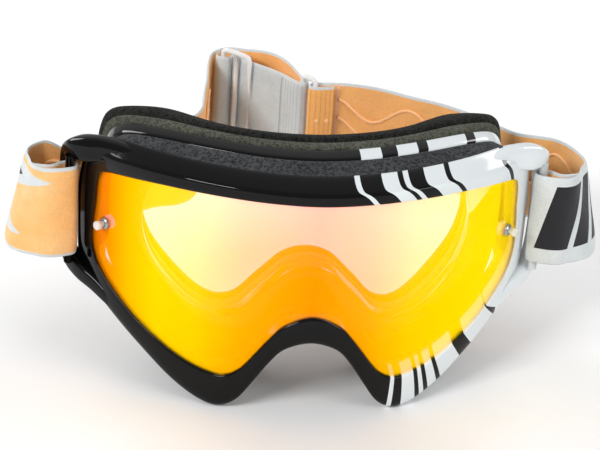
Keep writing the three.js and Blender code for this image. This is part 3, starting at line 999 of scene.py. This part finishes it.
def side_normal(line, i, hand):
    """Square to the line at a station, on its left for hand 1 and its right for hand -1."""
    along = (line[min(i + 1, len(line) - 1)] - line[max(i - 1, 0)]).normalized()
    return Vector((-along.y, along.x)) * hand


def flare(distance):
    """How much the strap's lower edge leans out, along the side loop."""
    return smooth((distance - 39) / 14) * (1 - smooth((distance - 74) / 36))


def sag(distance):
    """How far the left piece hangs down behind the brow's end."""
    return -5.5 * smooth((distance - 78) / 12) * (1 - smooth((distance - 116) / 22))


STRAP_LEAN = 4.5  # how far the strap's edges lean where it flares


def webbing(
    name, route, hand, faces,
    thickness=STRAP_THICKNESS, lean=STRAP_LEAN, spacing=1.5, wave=0.25, hangs=0,
):
    """Strap webbing on its edge along a plan route. hand says which side of the route is the printed one.
    faces holds the printed, the lining and the selvedge material. hangs is 1 where the strap sags."""
    line = open_line([Vector(p) for p in route], spacing)
    levels = 12
    heights = [STRAP_WIDTH * k / levels for k in range(levels + 1)]
    half = thickness / 2 - 0.1
    section = [(h, half) for h in heights] + [(h, -half) for h in reversed(heights)]
    rows, along, total = [], [], 0.0
    for i, p in enumerate(line):
        if i:
            total += (p - line[i - 1]).length
        normal = side_normal(line, i, hand)
        row = []
        for h, off in section:
            tuck = 0.55 if h in (0, STRAP_WIDTH) else 1.0
            tilt = lean * flare(total) * (1 - 2 * h / STRAP_WIDTH)
            ripple = wave * math.sin(total * 0.21 + h * 0.13) * math.sin(h * 0.11 + 1.0)
            q = p + normal * (off * tuck + tilt + ripple)
            row.append(place(q.x, q.y, STRAP_BOTTOM + h + hangs * sag(total)))
        rows.append(row)
        along.append(total)
    across = [h for h, _ in section] + [0]
    piece = skin(name, rows, list(faces), ring=False, along=along, across=across)
    width = len(section)
    for index, poly in enumerate(piece.data.polygons):
        j = index % width
        if index >= (len(rows) - 1) * width or j in (levels, width - 1):
            poly.material_index = 2
        else:
            poly.material_index = 0 if j < levels else 1
    return piece, total


left_strap, left_length = webbing(
    "strap_left_webbing", LEFT_ROUTE, 1, (LEFT_PRINT, LINING_FACE, SELVEDGE), hangs=1,
)
right_strap, right_length = webbing(
    "strap_right_webbing", RIGHT_ROUTE, -1, (RIGHT_PRINT, LINING_SEAMED, SELVEDGE),
)
slider_tab, tab_length = webbing(
    "slider_loop_webbing", LOOP_ROUTE, 1, (WHITE_PRINT, WHITE_PRINT, SELVEDGE), 1.5, 0, 0.6, 0,
)
for piece, node, body, length, hangs_on in (
    (left_strap, "strap_left", "goggles", left_length, ["outrigger_left", "strap_ring"]),
    (right_strap, "strap_right", "goggles", right_length, ["outrigger_right", "strap_ring"]),
    (slider_tab, "slider_loop", "adjuster", tab_length, ["strap_slider"]),
):
    refine(piece)
    belongs(piece, body, "strap", node)


BEAD_PERIOD = 37
BEAD_WAVES = 4
BEAD_SWING = 5.0
BEAD_RADIUS = 0.75
BEAD_STANDS_OFF = 0.35  # from the strap's face to the bead's middle
LEFT_BEAD_START = 50


def bead(name, route, hand, first, height):
    """A wavy silicone bead on the lining side of a strap, from a distance along its route."""
    line = open_line([Vector(p) for p in route], 1.0)
    points = []
    for i in range(round(first), round(first + BEAD_WAVES * BEAD_PERIOD), 2):
        h = height + BEAD_SWING * math.cos(2 * math.pi * (i - first) / BEAD_PERIOD)
        tilt = STRAP_LEAN * flare(i) * (1 - 2 * h / STRAP_WIDTH)
        q = line[i] + side_normal(line, i, hand) * (tilt - STRAP_THICKNESS / 2 - BEAD_STANDS_OFF)
        drop = sag(i) if hand > 0 else 0
        points.append(place(q.x, q.y, STRAP_BOTTOM + h + drop))
    return refine(rod(name, points, BEAD_RADIUS, SILICONE, sides=8))


RIGHT_SEAM = 24  # from the strap's end to the seam beside the ring
for word, height in (("upper", STRAP_WIDTH - 12), ("lower", STRAP_WIDTH - 21)):
    right_start = right_length - RIGHT_SEAM - BEAD_WAVES * BEAD_PERIOD
    right_bead = bead(f"silicone_{word}_right", RIGHT_ROUTE, -1, right_start, height)
    left_bead = bead(f"silicone_{word}_left", LEFT_ROUTE, 1, LEFT_BEAD_START, height)
    belongs(right_bead, "goggles", "silicone", f"silicone_bead_{word}_right")
    belongs(left_bead, "goggles", "silicone", f"silicone_bead_{word}_left")


# A dot's (radius, rise), and where the dots lie: distances from the strap's end, and heights
DOT_PROFILE = [(0.02, -0.3), (1.0, -0.3), (1.15, 0.0), (1.0, 0.35), (0.6, 0.6), (0.02, 0.7)]
DOT_COLUMNS = (6.4, 2.2)
DOT_HEIGHTS = (24.5, 14.5)


def dot(name, distance, height, sides=16):
    """A small silicone dot on the printed side of the right strap."""
    step = 0.5
    line = open_line([Vector(p) for p in RIGHT_ROUTE], step)
    i = min(round(distance / step), len(line) - 2)
    out = side_normal(line, i, -1)
    flat = Vector((-out.y, out.x))
    rows = []
    for k in range(sides):
        a = 2 * math.pi * k / sides
        row = []
        for r, h in DOT_PROFILE:
            q = line[i] + out * (STRAP_THICKNESS / 2 - 0.1 + h) + flat * (r * math.cos(a))
            row.append(place(q.x, q.y, STRAP_BOTTOM + height + r * math.sin(a)))
        rows.append(row)
    return refine(skin(name, rows, SILICONE))


for column, from_end in enumerate(DOT_COLUMNS, 1):
    for row, height in enumerate(DOT_HEIGHTS, 1):
        piece = dot(f"silicone_dot_{column}_{row}", right_length - from_end, height)
        belongs(piece, "goggles", "silicone")


# ---------------------------------------------------------------- slider and ring
def run_loop(start, end, across, bottom, top, corner=3.0, count=5):
    """Places round an upright rectangle with round corners, on the strap's run."""
    points = []
    for cx, cz, first in (
        (end - corner, top - corner, 0.0), (start + corner, top - corner, 0.5),
        (start + corner, bottom + corner, 1.0), (end - corner, bottom + corner, 1.5),
    ):
        for k in range(count):
            a = math.pi * (first + 0.5 * k / (count - 1))
            x, y = on_run(cx + corner * math.cos(a), across)
            points.append(place(x, y, cz + corner * math.sin(a)))
    return points


def upright_rod(name, along, across, bottom, top, radius, material):
    x, y = on_run(along, across)
    return rod(name, [place(x, y, z) for z in (bottom, (bottom + top) / 2, top)], radius, material)


strap_top = STRAP_BOTTOM + STRAP_WIDTH
slider_rim = rod(
    "slider_outline",
    run_loop(1.2, SLIDER_LENGTH - 1.2, SLIDER_MIDDLE, STRAP_BOTTOM - 2.8, strap_top + 2.8),
    1.3, BUCKLE_CLEAR, closed=True,
)
slider_bar = upright_rod(
    "slider_middle_bar", SLIDER_LENGTH / 2, SLIDER_MIDDLE,
    STRAP_BOTTOM - 2.6, strap_top + 2.6, 1.15, BUCKLE_CLEAR,
)
strap_ring = rod(
    "ring_outline",
    run_loop(RING_LEFT, RING_RIGHT, 0, STRAP_BOTTOM - 1.9, strap_top + 1.9, 1.8),
    1.25, BUCKLE_CLEAR, closed=True,
)
belongs(slider_rim, "adjuster", "clear_plastic", "strap_slider")
belongs(slider_bar, "adjuster", "clear_plastic")
belongs(strap_ring, "goggles", "clear_plastic", "strap_ring")
for piece in (slider_rim, slider_bar, strap_ring):
    refine(piece)


# ---------------------------------------------------------------- floor, light and camera
def stage_material():
    n = Nodes("studio_floor")
    return n.done(n.add("BsdfPrincipled", Base_Color=(0.93, 0.93, 0.93, 1), Roughness=0.9).outputs[0])


def floor():
    size = 3.0
    corners = [(-size, -size, 0), (size, -size, 0), (size, size, 0), (-size, size, 0)]
    return make("studio_floor", [Vector(c) for c in corners], [(0, 1, 2, 3)], stage_material())


def area_light(name, location, target, power, size, size_y=None, color=(1, 1, 1)):
    light = bpy.data.lights.new(name, "AREA")
    light.energy = power
    light.color = color
    light.shape = "RECTANGLE"
    light.size = size
    light.size_y = size_y or size
    obj = bpy.data.objects.new(name, light)
    obj.location = location
    direction = Vector(target) - Vector(location)
    obj.rotation_euler = direction.to_track_quat("-Z", "Y").to_euler()
    bpy.context.collection.objects.link(obj)
    return obj


ground = floor()
lights = [
    area_light("key_softbox", (-0.75, -0.75, 0.75), (0, 0, 0.05), 9, 0.5, 0.16),
    area_light("fill_softbox", (0.95, -0.7, 0.55), (0, 0, 0.05), 5, 0.6, 0.5),
    area_light("left_back_softbox", (-0.8, 0.8, 0.65), (0, 0, 0.05), 6, 0.5),
    area_light("right_back_softbox", (0.8, 0.9, 0.65), (0, 0, 0.05), 6, 0.5),
]

world = bpy.data.worlds.new("studio_world")
world.use_nodes = True
world.node_tree.nodes["Background"].inputs[0].default_value = (1, 1, 1, 1)
world.node_tree.nodes["Background"].inputs[1].default_value = 0.4
bpy.context.scene.world = world
bpy.context.scene.view_settings.view_transform = "Standard"


def photo_camera():
    """The camera stands left of the middle and above the goggles, slightly rolled."""
    azimuth, elevation, roll = math.radians(-6.5), math.radians(26.9), math.radians(3.9)
    forward = Vector((
        -math.sin(azimuth) * math.cos(elevation),
        math.cos(azimuth) * math.cos(elevation),
        -math.sin(elevation),
    ))
    level = Vector((math.cos(azimuth), math.sin(azimuth), 0))
    up = level.cross(forward)
    right = level * math.cos(roll) + up * math.sin(roll)
    top = up * math.cos(roll) - level * math.sin(roll)
    data = bpy.data.cameras.new("photo_camera")
    data.lens = 133
    data.sensor_width = 36
    data.clip_end = 20
    obj = bpy.data.objects.new("photo_camera", data)
    eye = place(-5, 25, 74.5) - forward * 0.895
    axes = Matrix((right, top, -forward)).transposed()
    obj.matrix_world = Matrix.Translation(eye) @ axes.to_4x4()
    bpy.context.collection.objects.link(obj)
    bpy.context.scene.camera = obj


photo_camera()
